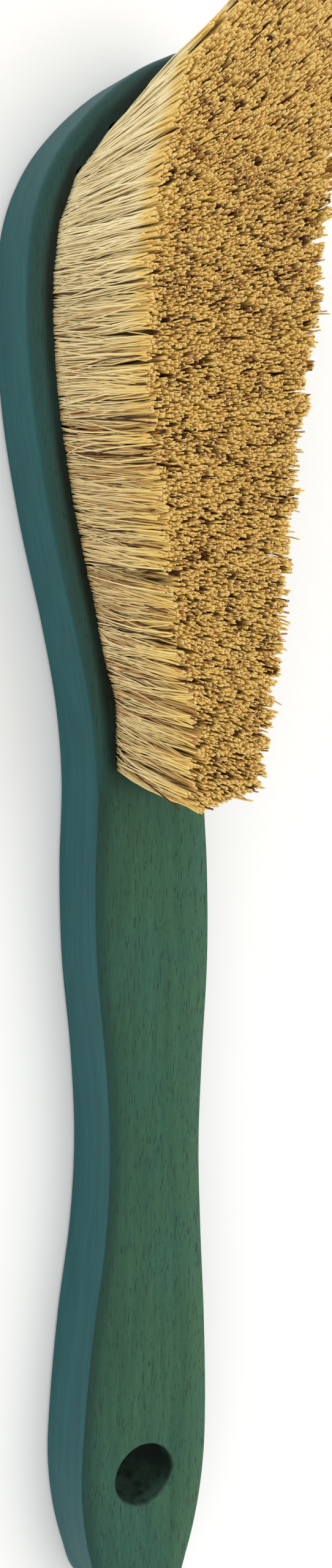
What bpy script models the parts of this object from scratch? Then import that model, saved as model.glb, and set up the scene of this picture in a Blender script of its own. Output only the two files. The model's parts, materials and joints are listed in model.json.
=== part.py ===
# Climbing hold brush: a stained beech board with boar bristle tufts, each held in a drilled hole by a metal anchor.
# The brush lies on its back, bristles up. Lengths are in metres. X runs from the tail to the toe, Y across, Z up.
import math

import bmesh
import bpy
import numpy as np
from mathutils import Vector

# Board
BOARD_LENGTH = 0.245
BOARD_THICKNESS = 0.013
TAIL_WIDTH = 0.0221
WAIST_WIDTH = 0.0164
PALM_WIDTH = 0.0197
HEAD_WIDTH = 0.0375
HEAD_BULGE = 0.0029
TOE_SWEEP = 0.0048
BACK_EDGE_RADIUS = 0.0006
GRIP_EDGE_RADIUS = 0.0005
HEAD_EDGE_RADIUS = 0.0023
HANG_HOLE_DIAMETER = 0.010
HANG_HOLE_FROM_TAIL = 0.0254
HANG_HOLE_CHAMFER = 0.0006
CUT_OVERRUN = 0.002

# Tufts
TUFT_HOLE_DEPTH = 0.0085
BRISTLE_LENGTH = 0.0234
FIT_CLEARANCE = 0.0003

# How far the bristle tips lie from straight above their roots
COMMON_LEAN = -0.002
HEEL_FLARE = 0.0012
TOE_FLARE = 0.0098
TOE_SIDE_LEAN = -0.0032
SIDE_SPREAD = 0.00235
SIDE_DRAW_IN = 0.0024

# Anchor that each bundle is folded round
ANCHOR_HEIGHT = 0.0016
ANCHOR_THICKNESS = 0.00045
WOOD_BETWEEN_ANCHORS = 0.0006
ANCHOR_ABOVE_HOLE_FLOOR = 0.0015

# Plan of the board: share of the length, share of a width, that width, share of a sideways offset, that offset
PLAN_SHARES = (
    (0.016, 0.55, TAIL_WIDTH, 0.00, HEAD_BULGE),
    (0.040, 0.76, TAIL_WIDTH, 0.00, HEAD_BULGE),
    (0.071, 0.93, TAIL_WIDTH, 0.00, HEAD_BULGE),
    (0.104, 1.015, TAIL_WIDTH, -0.02, HEAD_BULGE),
    (0.140, 1.01, TAIL_WIDTH, -0.09, HEAD_BULGE),
    (0.202, 0.925, TAIL_WIDTH, -0.21, HEAD_BULGE),
    (0.267, 1.055, WAIST_WIDTH, -0.38, HEAD_BULGE),
    (0.322, 0.98, WAIST_WIDTH, -0.37, HEAD_BULGE),
    (0.380, 1.045, WAIST_WIDTH, -0.27, HEAD_BULGE),
    (0.445, 0.99, PALM_WIDTH, -0.07, HEAD_BULGE),
    (0.500, 1.00, PALM_WIDTH, 0.08, HEAD_BULGE),
    (0.561, 0.94, PALM_WIDTH, 0.22, HEAD_BULGE),
    (0.608, 1.01, PALM_WIDTH, 0.38, HEAD_BULGE),
    (0.657, 0.62, HEAD_WIDTH, 0.66, HEAD_BULGE),
    (0.722, 0.783, HEAD_WIDTH, 0.98, HEAD_BULGE),
    (0.788, 0.928, HEAD_WIDTH, 1.05, HEAD_BULGE),
    (0.850, 1.00, HEAD_WIDTH, 0.94, HEAD_BULGE),
    (0.895, 0.98, HEAD_WIDTH, 0.66, HEAD_BULGE),
    (0.927, 0.88, HEAD_WIDTH, 0.20, HEAD_BULGE),
    (0.953, 0.71, HEAD_WIDTH, -0.21, TOE_SWEEP),
    (0.978, 0.46, HEAD_WIDTH, -0.60, TOE_SWEEP),
    (0.992, 0.25, HEAD_WIDTH, -0.92, TOE_SWEEP),
)
CURVE_STEPS = 3
EDGE_STEPS = 3
ROUND_HOLE_SIDES = 40
HEEL_ROW_SHARE = 0.5837
TOE_ROW_SHARE = 0.9690
EDGE_TO_TUFT_SHARE = 0.14
TUFT_HOLE_SHARE = 0.794
HEEL_FLARE_SPAN_SHARE = 0.15
TOE_FLARE_SPAN_SHARE = 0.36
DRAW_IN_FROM_SHARE = 0.18
DRAW_IN_FULL_SHARE = 0.50
DRAW_IN_END_SPAN_SHARE = 0.22
TIP_FILL_SHARE = 0.7
HEAD_EDGE_FROM_SHARE = 0.52
HEAD_EDGE_FULL_SHARE = 0.70
WIDEST_TUFT_GAP_SHARE = 1.2

# Tufts in each cross row, from heel to toe, and the strands in a tuft, along and across the brush
TUFTS_IN_ROWS = (2, 2, 3, 3, 4, 4, 4, 5, 5, 5, 5, 5, 5, 4, 2)
STRANDS_ALONG = 3
STRANDS_ACROSS = 2

WOOD = ("stained_beech", (0.055, 0.122, 0.098, 1.0), 0.55, 0.0)
BRISTLE = ("boar_bristle", (0.62, 0.47, 0.25, 1.0), 0.6, 0.0)


def clear_scene():
    for thing in list(bpy.data.objects):
        bpy.data.objects.remove(thing, do_unlink=True)


def make_material(name, colour, roughness, metallic):
    material = bpy.data.materials.new(name)
    material.use_nodes = True
    shader = material.node_tree.nodes["Principled BSDF"]
    shader.inputs["Base Color"].default_value = colour
    shader.inputs["Roughness"].default_value = roughness
    shader.inputs["Metallic"].default_value = metallic
    material.diffuse_color = colour
    return material


def smooth_step(value):
    value = min(max(value, 0.0), 1.0)
    return value * value * (3.0 - 2.0 * value)


def curve_through(points, steps):
    """Closed smooth curve through the points, with even speed between near and far neighbours."""
    points = [np.array(point) for point in points]
    count = len(points)
    curve = []
    for index in range(count):
        before, start, end, after = (points[(index + offset) % count] for offset in (-1, 0, 1, 2))
        knots = [0.0]
        for first, second in ((before, start), (start, end), (end, after)):
            knots.append(knots[-1] + math.sqrt(np.linalg.norm(second - first)))
        for step in range(steps):
            at = knots[1] + (knots[2] - knots[1]) * step / steps
            curve.append(curve_point(at, knots, (before, start, end, after)))
    return curve


def curve_point(at, knots, points):
    level = list(points)
    for width in (1, 2, 2):
        blended = []
        for index in range(len(level) - 1):
            if len(level) == 2:
                low, high = knots[1], knots[2]
            else:
                low, high = knots[index], knots[index + width]
            share = (at - low) / (high - low)
            blended.append(level[index] * (1.0 - share) + level[index + 1] * share)
        level = blended
    return level[0]


def plan_outline():
    """Points round the board seen from above, with X from the tail and Y across."""
    left_side = []
    right_side = []
    for length_share, width_share, width, offset_share, offset in PLAN_SHARES:
        along = length_share * BOARD_LENGTH
        middle = offset_share * offset
        half = width_share * width / 2.0
        left_side.append((along, middle + half))
        right_side.append((along, middle - half))
    tail = [(0.0, 0.0)]
    toe = [(BOARD_LENGTH, -TOE_SWEEP)]
    return curve_through(tail + right_side + toe + left_side[::-1], CURVE_STEPS)


def outline_normals(outline):
    normals = []
    count = len(outline)
    for index in range(count):
        run = outline[(index + 1) % count] - outline[index - 1]
        normals.append(np.array((run[1], -run[0])) / np.linalg.norm(run))
    return normals


def edges_at(outline, along):
    """Lowest and highest Y of the outline where it crosses the given X."""
    crossings = []
    for index in range(len(outline)):
        first, second = outline[index - 1], outline[index]
        if (first[0] - along) * (second[0] - along) <= 0.0 and first[0] != second[0]:
            share = (along - first[0]) / (second[0] - first[0])
            crossings.append(first[1] + share * (second[1] - first[1]))
    return min(crossings), max(crossings)


def inset_outline(outline, distance):
    return [point - normal * distance for point, normal in zip(outline, outline_normals(outline))]


def field_share(along):
    """Share of the way from the heel row to the toe row."""
    share = (along / BOARD_LENGTH - HEEL_ROW_SHARE) / (TOE_ROW_SHARE - HEEL_ROW_SHARE)
    return min(max(share, 0.0), 1.0)


def sideways_shift(along):
    """How far the tips at a row's ends lie outside its outer roots: drawn in where the head is wide."""
    share = field_share(along)
    rise = smooth_step((share - DRAW_IN_FROM_SHARE) / (DRAW_IN_FULL_SHARE - DRAW_IN_FROM_SHARE))
    fall = smooth_step((1.0 - share) / DRAW_IN_END_SPAN_SHARE)
    return SIDE_SPREAD - SIDE_DRAW_IN * rise * fall


def toe_part(along):
    """How strongly the toe's flare acts on a tuft: none at the middle of the field, fully at the toe row."""
    return max((field_share(along) - 1.0 + TOE_FLARE_SPAN_SHARE) / TOE_FLARE_SPAN_SHARE, 0.0) ** 2


def lengthwise_shift(along):
    """How far a tip lies along the brush from its root: flared at the heel and more at the toe."""
    heel_part = max(1.0 - field_share(along) / HEEL_FLARE_SPAN_SHARE, 0.0) ** 2
    return COMMON_LEAN - HEEL_FLARE * heel_part + TOE_FLARE * toe_part(along)


def tuft_rows(outline):
    """Tufts row by row. Each has its root, the middle of its tips, and the room that its tips fill."""
    field = inset_outline(outline, EDGE_TO_TUFT_SHARE * HEAD_WIDTH)
    heel_row = HEEL_ROW_SHARE * BOARD_LENGTH
    pitch = (TOE_ROW_SHARE * BOARD_LENGTH - heel_row) / (len(TUFTS_IN_ROWS) - 1)
    rows = []
    for index, count in enumerate(TUFTS_IN_ROWS):
        along = heel_row + index * pitch
        low, high = edges_at(field, along)
        gap = min((high - low) / (count - 1), WIDEST_TUFT_GAP_SHARE * pitch)
        half_width = gap * (count - 1) / 2.0
        middle = (low + high) / 2.0
        tip_half_width = half_width + sideways_shift(along)
        tip_gap = 2.0 * tip_half_width / count
        back = along - pitch / 2.0
        front = along + pitch / 2.0
        tip_pitch = pitch + lengthwise_shift(front) - lengthwise_shift(back)
        tip_along = (back + lengthwise_shift(back) + front + lengthwise_shift(front)) / 2.0
        tip_middle = middle + TOE_SIDE_LEAN * toe_part(along)
        row = []
        for place in range(count):
            root = (along, middle - half_width + place * gap)
            tip = (tip_along, tip_middle - tip_half_width + (place + 0.5) * tip_gap)
            row.append({"root": root, "tip": tip, "room": (tip_pitch, tip_gap)})
        rows.append(row)
    return rows


def anchor_height():
    """Height of the anchors' middle over the back face."""
    return BOARD_THICKNESS - TUFT_HOLE_DEPTH + ANCHOR_ABOVE_HOLE_FLOOR + ANCHOR_HEIGHT / 2.0


def size_tufts(rows):
    """Gives every tuft its hole and its anchor, from the room that the closest tufts leave."""
    across = [second["root"][1] - first["root"][1] for row in rows for first, second in zip(row, row[1:])]
    lines = [axis_point(row[0], anchor_height())[0] for row in rows]
    along = [second - first for first, second in zip(lines, lines[1:])]
    hole_diameter = TUFT_HOLE_SHARE * min(across + along)
    anchor_length = min(along) - 2.0 * FIT_CLEARANCE - WOOD_BETWEEN_ANCHORS
    for row in rows:
        for tuft in row:
            tuft["hole_radius"] = hole_diameter / 2.0
            tuft["anchor_length"] = anchor_length


def tip_corners(tuft, column, place):
    """Corners of one strand's cut tip."""
    room = tuft["room"]
    along = tuft["tip"][0] + ((column + 0.5) / STRANDS_ALONG - 0.5) * room[0]
    across = tuft["tip"][1] + ((place + 0.5) / STRANDS_ACROSS - 0.5) * room[1]
    half_x = TIP_FILL_SHARE * room[0] / STRANDS_ALONG / 2.0
    half_y = TIP_FILL_SHARE * room[1] / STRANDS_ACROSS / 2.0
    top = BOARD_THICKNESS + BRISTLE_LENGTH
    signs = ((-1, -1), (1, -1), (1, 1), (-1, 1))
    return [(along + sign_x * half_x, across + sign_y * half_y, top) for sign_x, sign_y in signs]


def box_middle(outline, rows):
    """Middle of the whole brush seen from above, which is the origin."""
    reach = [point[0] for point in outline]
    for tuft in rows[-1]:
        reach += [corner[0] for corner in tip_corners(tuft, STRANDS_ALONG - 1, 0)]
    sides = [point[1] for point in outline]
    return (min(reach) + max(reach)) / 2.0, (min(sides) + max(sides)) / 2.0


def new_object(name, material):
    mesh = bpy.data.meshes.new(name)
    thing = bpy.data.objects.new(name, mesh)
    bpy.context.scene.collection.objects.link(thing)
    mesh.materials.append(material)
    return thing


def fill_object(thing, shape, smooth_angle=None):
    bmesh.ops.recalc_face_normals(shape, faces=shape.faces)
    shape.to_mesh(thing.data)
    shape.free()
    if smooth_angle is not None:
        thing.data.shade_smooth()
        thing.data.set_sharp_from_angle(angle=smooth_angle)


def front_edge_radius(along):
    share = along / BOARD_LENGTH
    blend = smooth_step((share - HEAD_EDGE_FROM_SHARE) / (HEAD_EDGE_FULL_SHARE - HEAD_EDGE_FROM_SHARE))
    return GRIP_EDGE_RADIUS + (HEAD_EDGE_RADIUS - GRIP_EDGE_RADIUS) * blend


def board_rings(outline):
    """Rings of points from the back face, round the edges, to the front face."""
    normals = outline_normals(outline)
    rings = []
    for side in (-1, 1):
        for step in range(EDGE_STEPS + 1):
            turn = math.pi / 2.0 * step / EDGE_STEPS
            if side > 0:
                turn = math.pi / 2.0 - turn
            ring = []
            for point, normal in zip(outline, normals):
                radius = BACK_EDGE_RADIUS if side < 0 else front_edge_radius(point[0])
                flat = point - normal * radius * (1.0 - math.sin(turn))
                drop = radius * (1.0 - math.cos(turn))
                height = drop if side < 0 else BOARD_THICKNESS - drop
                ring.append((flat[0], flat[1], height))
            rings.append(ring)
    return rings


def bridge(shape, lower, upper):
    for index in range(len(lower)):
        after = (index + 1) % len(lower)
        shape.faces.new((lower[index], lower[after], upper[after], upper[index]))


def loft(shape, rings):
    """Closed body through rings of equal count, with a flat face at each end."""
    layers = [[shape.verts.new(point) for point in ring] for ring in rings]
    for lower, upper in zip(layers, layers[1:]):
        bridge(shape, lower, upper)
    shape.faces.new(layers[0][::-1])
    shape.faces.new(layers[-1])


def circle(middle, radius, height, sides):
    turns = [2.0 * math.pi * index / sides for index in range(sides)]
    return [(middle[0] + radius * math.cos(turn), middle[1] + radius * math.sin(turn), height) for turn in turns]


def add_box(shape, middle, size):
    """Box sized along X, Y and Z about its middle."""
    rings = []
    for level in (-1, 1):
        corners = ((-1, -1), (1, -1), (1, 1), (-1, 1))
        rings.append([(middle[0] + sign_x * size[0] / 2.0, middle[1] + sign_y * size[1] / 2.0,
                       middle[2] + level * size[2] / 2.0) for sign_x, sign_y in corners])
    loft(shape, rings)


def make_cutter(name, shape):
    cutter = bpy.data.objects.new(name, bpy.data.meshes.new(name))
    bpy.context.scene.collection.objects.link(cutter)
    fill_object(cutter, shape)
    cutter.hide_render = True
    cutter.display_type = "WIRE"
    return cutter


def combine(thing, other, operation):
    modifier = thing.modifiers.new(other.name, "BOOLEAN")
    modifier.operation = operation
    modifier.solver = "EXACT"
    modifier.object = other


def cut(thing, cutter):
    combine(thing, cutter, "DIFFERENCE")


def hang_hole_cutter(parent):
    """Hole through the tail, with a small chamfer at each face."""
    middle = (HANG_HOLE_FROM_TAIL, 0.0)
    radius = HANG_HOLE_DIAMETER / 2.0
    wide = radius + HANG_HOLE_CHAMFER + CUT_OVERRUN
    levels = (
        (-CUT_OVERRUN, wide),
        (HANG_HOLE_CHAMFER, radius),
        (BOARD_THICKNESS - HANG_HOLE_CHAMFER, radius),
        (BOARD_THICKNESS + CUT_OVERRUN, wide),
    )
    shape = bmesh.new()
    loft(shape, [circle(middle, size, height, ROUND_HOLE_SIDES) for height, size in levels])
    cutter = make_cutter("hang_hole_cutter", shape)
    cutter.parent = parent
    return cutter


def axis_point(tuft, height):
    """Point on the leaning axis of a tuft, at a height over the back face."""
    share = (height - BOARD_THICKNESS) / BRISTLE_LENGTH
    root, tip = tuft["root"], tuft["tip"]
    return root[0] + (tip[0] - root[0]) * share, root[1] + (tip[1] - root[1]) * share


def tuft_grid(tuft, height, radius):
    """Round grid of points across a tuft, one cell for each strand."""
    middle = axis_point(tuft, height)
    grid = []
    for column in range(STRANDS_ALONG + 1):
        line = []
        for place in range(STRANDS_ACROSS + 1):
            flat_x = 2.0 * column / STRANDS_ALONG - 1.0
            flat_y = 2.0 * place / STRANDS_ACROSS - 1.0
            round_x = flat_x * math.sqrt(1.0 - flat_y * flat_y / 2.0)
            round_y = flat_y * math.sqrt(1.0 - flat_x * flat_x / 2.0)
            line.append((middle[0] + radius * round_x, middle[1] + radius * round_y, height))
        grid.append(line)
    return grid


def border(grid):
    """Points round a grid's border, in order."""
    edge = [grid[column][0] for column in range(STRANDS_ALONG)]
    edge += [grid[STRANDS_ALONG][place] for place in range(STRANDS_ACROSS)]
    edge += [grid[column][STRANDS_ACROSS] for column in range(STRANDS_ALONG, 0, -1)]
    edge += [grid[0][place] for place in range(STRANDS_ACROSS, 0, -1)]
    return edge


def tuft_shape(tuft):
    """Folded bundle that fills its drilled hole, with a strand standing on each cell of its top."""
    shape = bmesh.new()
    radius = tuft["hole_radius"] - FIT_CLEARANCE
    floor = BOARD_THICKNESS - TUFT_HOLE_DEPTH + FIT_CLEARANCE
    bottom = [shape.verts.new(point) for point in border(tuft_grid(tuft, floor, radius))]
    top = [[shape.verts.new(point) for point in line] for line in tuft_grid(tuft, BOARD_THICKNESS, radius)]
    shape.faces.new(bottom[::-1])
    bridge(shape, bottom, border(top))
    for column in range(STRANDS_ALONG):
        for place in range(STRANDS_ACROSS):
            root = (top[column][place], top[column + 1][place], top[column + 1][place + 1], top[column][place + 1])
            tip = [shape.verts.new(point) for point in tip_corners(tuft, column, place)]
            bridge(shape, root, tip)
            shape.faces.new(tip)
    return shape


def anchor_box(shape, tuft, clearance):
    height = anchor_height()
    middle = (*axis_point(tuft, height), height)
    sizes = (tuft["anchor_length"], ANCHOR_THICKNESS, ANCHOR_HEIGHT)
    add_box(shape, middle, [size + 2.0 * clearance for size in sizes])


def make_board(outline, rows, material, parent):
    board = new_object("handle", material)
    shape = bmesh.new()
    loft(shape, board_rings(outline))
    fill_object(board, shape, math.radians(40.0))
    cut(board, hang_hole_cutter(parent))

    drill = bmesh.new()
    slots = bmesh.new()
    for row in rows:
        for tuft in row:
            levels = (BOARD_THICKNESS - TUFT_HOLE_DEPTH, BOARD_THICKNESS + CUT_OVERRUN)
            loft(drill, [border(tuft_grid(tuft, height, tuft["hole_radius"])) for height in levels])
            anchor_box(slots, tuft, FIT_CLEARANCE)
    for name, cutter_shape in (("tuft_hole_cutter", drill), ("anchor_slot_cutter", slots)):
        cutter = make_cutter(name, cutter_shape)
        cutter.parent = parent
        cut(board, cutter)
    board.parent = parent


def make_tuft(name, tuft, material, parent):
    """One bundle with the anchor that it is folded round, whose ends stand out of its sides."""
    bundle = new_object(name, material)
    fill_object(bundle, tuft_shape(tuft))
    anchor = bmesh.new()
    anchor_box(anchor, tuft, 0.0)
    guide = make_cutter(name + "_anchor", anchor)
    guide.parent = parent
    bundle.parent = parent
    combine(bundle, guide, "UNION")


def build():
    clear_scene()
    wood = make_material(*WOOD)
    bristle = make_material(*BRISTLE)
    outline = plan_outline()
    rows = tuft_rows(outline)
    size_tufts(rows)
    middle = box_middle(outline, rows)
    brush = bpy.data.objects.new("brush", None)
    bpy.context.scene.collection.objects.link(brush)
    brush.location = Vector((-middle[0], -middle[1], 0.0))
    make_board(outline, rows, wood, brush)
    tufts = [tuft for row in rows for tuft in row]
    for number, tuft in enumerate(tufts, start=1):
        make_tuft("tuft_{:02d}".format(number), tuft, bristle, brush)


build()
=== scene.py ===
import json
import math

import bmesh
import bpy
import numpy as np
from mathutils import Matrix, Vector, noise

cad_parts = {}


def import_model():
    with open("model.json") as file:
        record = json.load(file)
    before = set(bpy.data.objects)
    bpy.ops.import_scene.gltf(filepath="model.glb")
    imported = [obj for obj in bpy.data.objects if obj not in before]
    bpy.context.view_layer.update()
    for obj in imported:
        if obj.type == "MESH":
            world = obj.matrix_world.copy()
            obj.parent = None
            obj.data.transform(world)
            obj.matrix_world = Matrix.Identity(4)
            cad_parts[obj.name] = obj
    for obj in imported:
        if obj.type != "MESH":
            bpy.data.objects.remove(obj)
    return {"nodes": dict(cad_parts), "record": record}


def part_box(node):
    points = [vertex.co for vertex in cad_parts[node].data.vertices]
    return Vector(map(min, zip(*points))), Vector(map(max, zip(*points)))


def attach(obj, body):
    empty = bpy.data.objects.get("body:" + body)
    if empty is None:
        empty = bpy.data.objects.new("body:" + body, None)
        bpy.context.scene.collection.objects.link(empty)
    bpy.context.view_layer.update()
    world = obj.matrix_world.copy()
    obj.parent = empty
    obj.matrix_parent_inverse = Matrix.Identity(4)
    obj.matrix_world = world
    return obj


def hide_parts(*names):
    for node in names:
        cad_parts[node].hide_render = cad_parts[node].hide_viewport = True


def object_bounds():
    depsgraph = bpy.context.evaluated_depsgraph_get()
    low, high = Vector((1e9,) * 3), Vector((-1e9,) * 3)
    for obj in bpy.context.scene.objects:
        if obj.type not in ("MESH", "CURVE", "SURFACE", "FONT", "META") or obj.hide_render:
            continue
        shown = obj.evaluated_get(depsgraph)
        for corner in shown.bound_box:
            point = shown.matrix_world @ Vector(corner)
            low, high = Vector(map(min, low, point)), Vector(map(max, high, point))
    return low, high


SEED = 7

# Board
TAIL_WIDTH = 0.0221
WAIST_WIDTH = 0.0164
PALM_WIDTH = 0.0197
HEAD_WIDTH = 0.0375
HEAD_BULGE = 0.0029
TOE_SWEEP = 0.0048
HANG_HOLE_DIAMETER = 0.010
HANG_HOLE_ROUNDING = 0.0007
TUFT_HOLE_DIAMETER = 0.0041
TUFT_HOLE_DEPTH = 0.0085
BACK_EDGE_RADIUS = 0.0006
GRIP_EDGE_RADIUS = 0.0005
HEAD_EDGE_RADIUS = 0.0024
CUT_OVERRUN = 0.002
ROW_APART = 0.002
LEVEL_APART = 0.0001

# Plan of the board: share of the length, share of a width, that width, share of an offset, that offset
PLAN_SHARES = (
    (0.016, 0.55, TAIL_WIDTH, 0.00, HEAD_BULGE),
    (0.040, 0.76, TAIL_WIDTH, 0.00, HEAD_BULGE),
    (0.071, 0.93, TAIL_WIDTH, 0.00, HEAD_BULGE),
    (0.104, 1.015, TAIL_WIDTH, -0.02, HEAD_BULGE),
    (0.140, 1.01, TAIL_WIDTH, -0.09, HEAD_BULGE),
    (0.202, 0.925, TAIL_WIDTH, -0.21, HEAD_BULGE),
    (0.267, 1.055, WAIST_WIDTH, -0.38, HEAD_BULGE),
    (0.322, 0.98, WAIST_WIDTH, -0.37, HEAD_BULGE),
    (0.380, 1.045, WAIST_WIDTH, -0.27, HEAD_BULGE),
    (0.445, 0.99, PALM_WIDTH, -0.07, HEAD_BULGE),
    (0.500, 1.00, PALM_WIDTH, 0.08, HEAD_BULGE),
    (0.561, 0.94, PALM_WIDTH, 0.22, HEAD_BULGE),
    (0.608, 1.01, PALM_WIDTH, 0.38, HEAD_BULGE),
    (0.657, 0.62, HEAD_WIDTH, 0.66, HEAD_BULGE),
    (0.722, 0.783, HEAD_WIDTH, 0.98, HEAD_BULGE),
    (0.788, 0.928, HEAD_WIDTH, 1.05, HEAD_BULGE),
    (0.850, 1.00, HEAD_WIDTH, 0.94, HEAD_BULGE),
    (0.895, 0.98, HEAD_WIDTH, 0.66, HEAD_BULGE),
    (0.927, 0.88, HEAD_WIDTH, 0.20, HEAD_BULGE),
    (0.953, 0.71, HEAD_WIDTH, -0.21, TOE_SWEEP),
    (0.978, 0.46, HEAD_WIDTH, -0.60, TOE_SWEEP),
    (0.992, 0.25, HEAD_WIDTH, -0.92, TOE_SWEEP),
)
HEAD_EDGE_FROM_SHARE = 0.52
HEAD_EDGE_FULL_SHARE = 0.70
CURVE_STEPS = 14
EDGE_STEPS = 8
ROUND_SIDES = 72
DRILL_SIDES = 20
SHARP_DEGREES = 28.0
EVEN_SHADING_WEIGHT = 80

# Where the wood's colour changes: distances from the plan's edges, and shares of its length. The strip, the
# shade and the head's shade are painted shade, the pale edge and the head's ridge painted highlights
EDGE_SAMPLES = 40
DARK_STRIP = 0.0007
DARK_STRIP_END = 0.0026
SHADE_END = 0.0100
PALE_EDGE = 0.0050
HEAD_SHADE_FROM = 0.0009
HEAD_SHADE_FULL = 0.0027
HEAD_COLOUR_FROM_SHARE = 0.545
HEAD_COLOUR_FULL_SHARE = 0.585

# The hang hole is darkened between these shares of its diameter, painted shade over its darker end grain.
# Its edge wavers with wear, and painted light on its wall grows to the tail
BORE_OUTER_SHARE = 0.54
BORE_INNER_SHARE = 0.505
RIM_WEAR = 0.0008
BORE_LIT_DEPTH = 0.0045

# Noises of the wood: detail, then features in a metre along X, Y and Z
STREAKS = (3.0, (45.0, 700.0, 700.0))
FIBRES = (4.0, (420.0, 6000.0, 6000.0))
PORES = (1.0, (520.0, 4200.0, 4200.0))
SPECKLE = (3.0, (2600.0, 4200.0, 4200.0))
CLOUDS = (3.0, (50.0, 120.0, 120.0))
BORE_WEAR_AND_LIGHT = (1.0, (420.0, 420.0, 420.0))

# Masks of the wood: the values at which each is 0 and 1
FLAT_RANGE = (0.3, 0.75)
UPWARD_RANGE = (0.0, 0.3)
LEAVING_WALL_RANGE = (0.05, 0.4)
LEAVING_FLAT_RANGE = (0.99, 0.8)
FRONT_STREAK_RANGE = (0.2, 0.8)
WALL_STREAK_RANGE = (0.15, 0.85)
CLOUD_RANGE = (0.35, 0.7)
FIBRE_RANGE = (0.4, 0.7)
SPECKLE_RANGE = (0.52, 0.7)
PORE_RANGE = (0.60, 0.70)
BORE_LIGHT_PATCH_RANGE = (0.2, 0.7)

# How strongly each tone covers the wood, as shares. The strip, shade and rounding tones are painted shade
STRIP_SHARE = 0.5
SHADE_SHARE = 0.45
ROUNDING_SHARE = 0.6
CLOUD_SHARE = 0.25
WALL_GRAIN_SHARE = 0.4
FLAT_GRAIN_SHARE = 0.6
FIBRE_SHARE = 0.35
SPECKLE_SHARE = 0.25
FLECK_SHARE = 0.55
FIBRE_HEIGHT_SHARE = 0.6
WOOD_ROUGHNESS = 0.55
WOOD_SPECULAR = 0.22
WOOD_BUMP = 0.00006
WOOD_BUMP_STRENGTH = 0.5

# Hairs: how many, how thick, and the rings along those of the outer shell and of the core
SQUARE_MM_IN_SQUARE_M = 1e6
HAIRS_PER_SQUARE_MM = 12.0
FRINGE_PER_SQUARE_MM = 20.0
FRINGE_DEPTH = 0.0013
FEWEST_CELLS = 4
HAIR_RADIUS = 0.000155
HAIR_RADIUS_SPREAD = 0.000035
HAIR_ROOT_SHARE = 0.58
HAIR_TIP_SHARE = 0.88
HAIR_SIDES = 3
SHELL_STAGES = (0.0, 0.07, 0.2, 0.4, 0.65, 0.92, 1.0)
CORE_STAGES = (0.0, 0.92, 1.0)
SHELL_DEPTH = 0.0042
SHELL_ROWS = 0.6

# Where roots and tips lie. The lists of shifts follow the rows, to the toe's end or from the heel
HAIR_SINK = 0.0006
OUTER_ROOT_REACH = 0.0023
TIP_MARGIN_SHARE = 0.088
TOE_SPREAD_RIGHT = (0.0004, 0.0010, 0.0016)
TOE_SPREAD_LEFT = (0.0010, 0.0026, 0.0034)
HEEL_NARROWING = (0.0014, 0.0006)
HEEL_SLANT = 0.0020
TUFT_FILL_ALONG = 0.94
TUFT_FILL_ACROSS = 0.90
TUFT_END_SLACK = 0.001
ROW_OVERLAP = 1.08
ROOT_CROSSING = 0.12

# Shares of a hair's lean along X, Y and Z that it takes mostly near its foot
FAN_SHARES = (0.08, 0.45, 0.0)
HAIR_FAN_POWER = 3.0

# How hairs bow, sway, gather in wisps and clumps, and stray
BOW = 0.00036
SWAY = 0.00020
TIP_WANDER = 0.00016
OFFSET_CELLS = 97
WISP_SIZE = 0.0019
WISP_TIP_PULL = 0.12
WISP_MIDDLE_PULL = 0.42
CLUMP_SIZE = 0.00066
CLUMP_PULL = 0.40
RAGGED_DEPTH = 0.0022
RAGGED_REACH = 0.0016
RAGGED_PULL = 0.25
STRAY_SHARE = 0.05
STRAY_BOW = 0.0009
STRAY_BOW_LIMIT = 2.0
STRAY_BOW_ALONG = 0.4
STRAY_REACH = 0.0008

# Rows from the toe's end over which hairs lie straighter, and over which the left side has fewer dark hairs
# and is painted paler, as painted light
TOE_CALM_ROWS = 3.5
TOE_CALM_SHARE = 0.75
TOE_CLEAN_AND_LIT_ROWS = 7.0
TOE_CLEAN_AND_LIT_FADE_ROWS = 4.0
TOE_CLEAN_SHARE = 0.95

# The trimmed face
TRIM_JITTER = 0.00010
TRIM_CLUMP = 0.00036
TRIM_WAVE = 0.00040
TRIM_WAVE_LENGTH = 0.0026

# Tones of the hairs, and where the amber and dark ones stand
TONE_LENGTH = 0.0005
TONE_LEAST = 0.2
TONE_SPREAD = 0.6
TONE_WAVE = 0.6
DARK_SHARE = 0.024
AMBER_SHARE = 0.065
AMBER_DARKNESS = 0.42
AMBER_RANGE = (0.0, 0.5)
DARK_RANGE = (0.5, 1.0)
PATCH_LENGTH = 0.0022
PATCH_STRENGTH = 7.0
SPOT_LENGTH = 0.0010
SPOT_FROM = 0.42
SPOT_STRENGTH = 120.0
PALE_END_RANGE = (0.96, 0.80)
HAIR_ATTRIBUTE = "hair"
HAIR_ROUGHNESS = 0.5
HAIR_SPECULAR = 0.12

# Each noise of the hairs reads a plane of its own
TRIM_WAVE_PLANE = 0.5
PATCH_PLANE = 3.5
RAGGED_PLANE = 5.5
TRIM_CLUMP_PLANE = 7.5
TONE_PLANE = 9.5
SPOT_PLANE = 11.5

# Camera, measured from the hang hole's mouth
CAMERA_FROM_HOLE = (0.139925, 0.116384, 0.203272)
CAMERA_RIGHT = (0.01814, -0.86569, 0.50025)
CAMERA_UP = (0.99276, -0.04382, -0.11182)
CAMERA_BACK = (0.11872, 0.49866, 0.85863)
CAMERA_LENS = 35.603
CAMERA_SENSOR = 36.0
CAMERA_NEAREST = 0.01
CAMERA_FURTHEST = 20.0

# Floor. Between these two distances from the frame's origin it fades into the backdrop
FLOOR_SIZE = 6.0
FLOOR_GAP = 0.0002
FLOOR_FADE_FROM = 0.2
FLOOR_FADE_TO = 0.5
FLOOR_COLOUR = (0.93, 0.93, 0.93, 1.0)
FLOOR_ROUGHNESS = 0.9

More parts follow.
